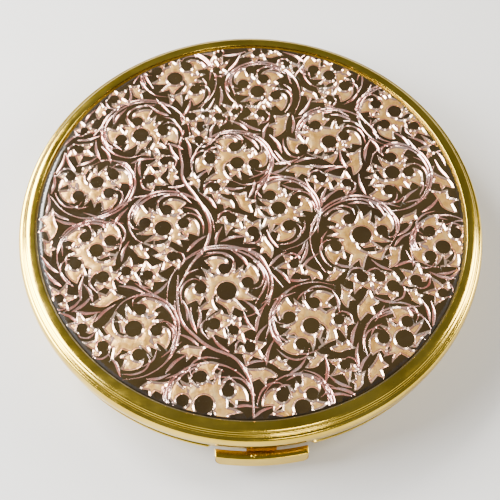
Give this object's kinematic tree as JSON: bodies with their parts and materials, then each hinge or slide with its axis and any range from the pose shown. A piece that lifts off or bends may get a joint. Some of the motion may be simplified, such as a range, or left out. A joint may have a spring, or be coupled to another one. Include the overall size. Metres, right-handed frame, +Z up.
{
  "type": "powder compact",
  "caption": "Round gilt powder compact with a framed engraved lid, mirror, powder well, sifter, puff, self-opening inner lid and a front push catch.",
  "frame": {"origin": "centre of the flat ring under the base, on the surface that the closed case rests on", "axes": "+Z up through the lid, +Y towards the lid's hinge, -Y towards the catch, +X to the right as seen from the catch"},
  "size_m": [0.082, 0.0847, 0.0125],
  "materials": {
    "gilt_case": "polished and gilt",
    "gilt_inner": "bright gilt, satin turned",
    "engraved_lacquer": "dark brown gloss lacquer, cut through to pink-gold metal",
    "card": "uncoated board",
    "mirror_glass": "silvered glass",
    "spring_steel": "plain drawn wire and strip",
    "velour": "cotton velour pile",
    "satin": "satin weave",
    "gauze": "fine open net"
  },
  "bodies": {
    "base": {"base_shell": "gilt_case", "powder_tray": "gilt_inner", "base_hinge_leaf": "gilt_case", "lid_hinge_pin": "spring_steel", "sifter_ring": "gilt_inner", "sifter_gauze": "gauze", "puff_pad": "velour", "puff_cover": "satin", "puff_ribbon": "satin", "inner_hinge_brackets": "gilt_inner", "inner_hinge_pin": "spring_steel", "inner_lid_spring": "spring_steel", "catch_spring": "spring_steel"},
    "lid": {"lid_shell": "gilt_case", "engraved_panel": "engraved_lacquer", "backing_card": "card", "mirror": "mirror_glass", "mirror_frame": "gilt_inner", "lid_keeper": "gilt_inner", "lid_hinge_leaf": "gilt_case"},
    "inner_lid": {"inner_lid": "gilt_inner", "inner_lid_tab": "gilt_inner", "inner_lid_leaf": "gilt_inner"},
    "catch": {"catch_bar": "gilt_case", "catch_hook": "gilt_inner", "catch_rivet": "gilt_case"}
  },
  "joints": [
    {"name": "lid_hinge", "type": "hinge", "parent": "base", "child": "lid", "pos_m": [0, 0.0411, 0.0084], "axis": [-1, 0, 0], "range_deg": [0, 110]},
    {"name": "inner_lid_hinge", "type": "hinge", "parent": "base", "child": "inner_lid", "pos_m": [0, 0.034, 0.0082], "axis": [-1, 0, 0], "range_deg": [0, 55], "deforming": ["inner_lid_spring"]},
    {"name": "catch_push", "type": "slide", "parent": "base", "child": "catch", "axis": [0, 1, 0], "range_m": [0, 0.0007], "stiffness_N_per_m": 1500, "springref_m": -0.0005, "deforming": ["catch_spring"]}
  ],
  "couplings": [
    {"joint": "inner_lid_hinge", "follows": "lid_hinge", "ratio": 0.5}
  ]
}
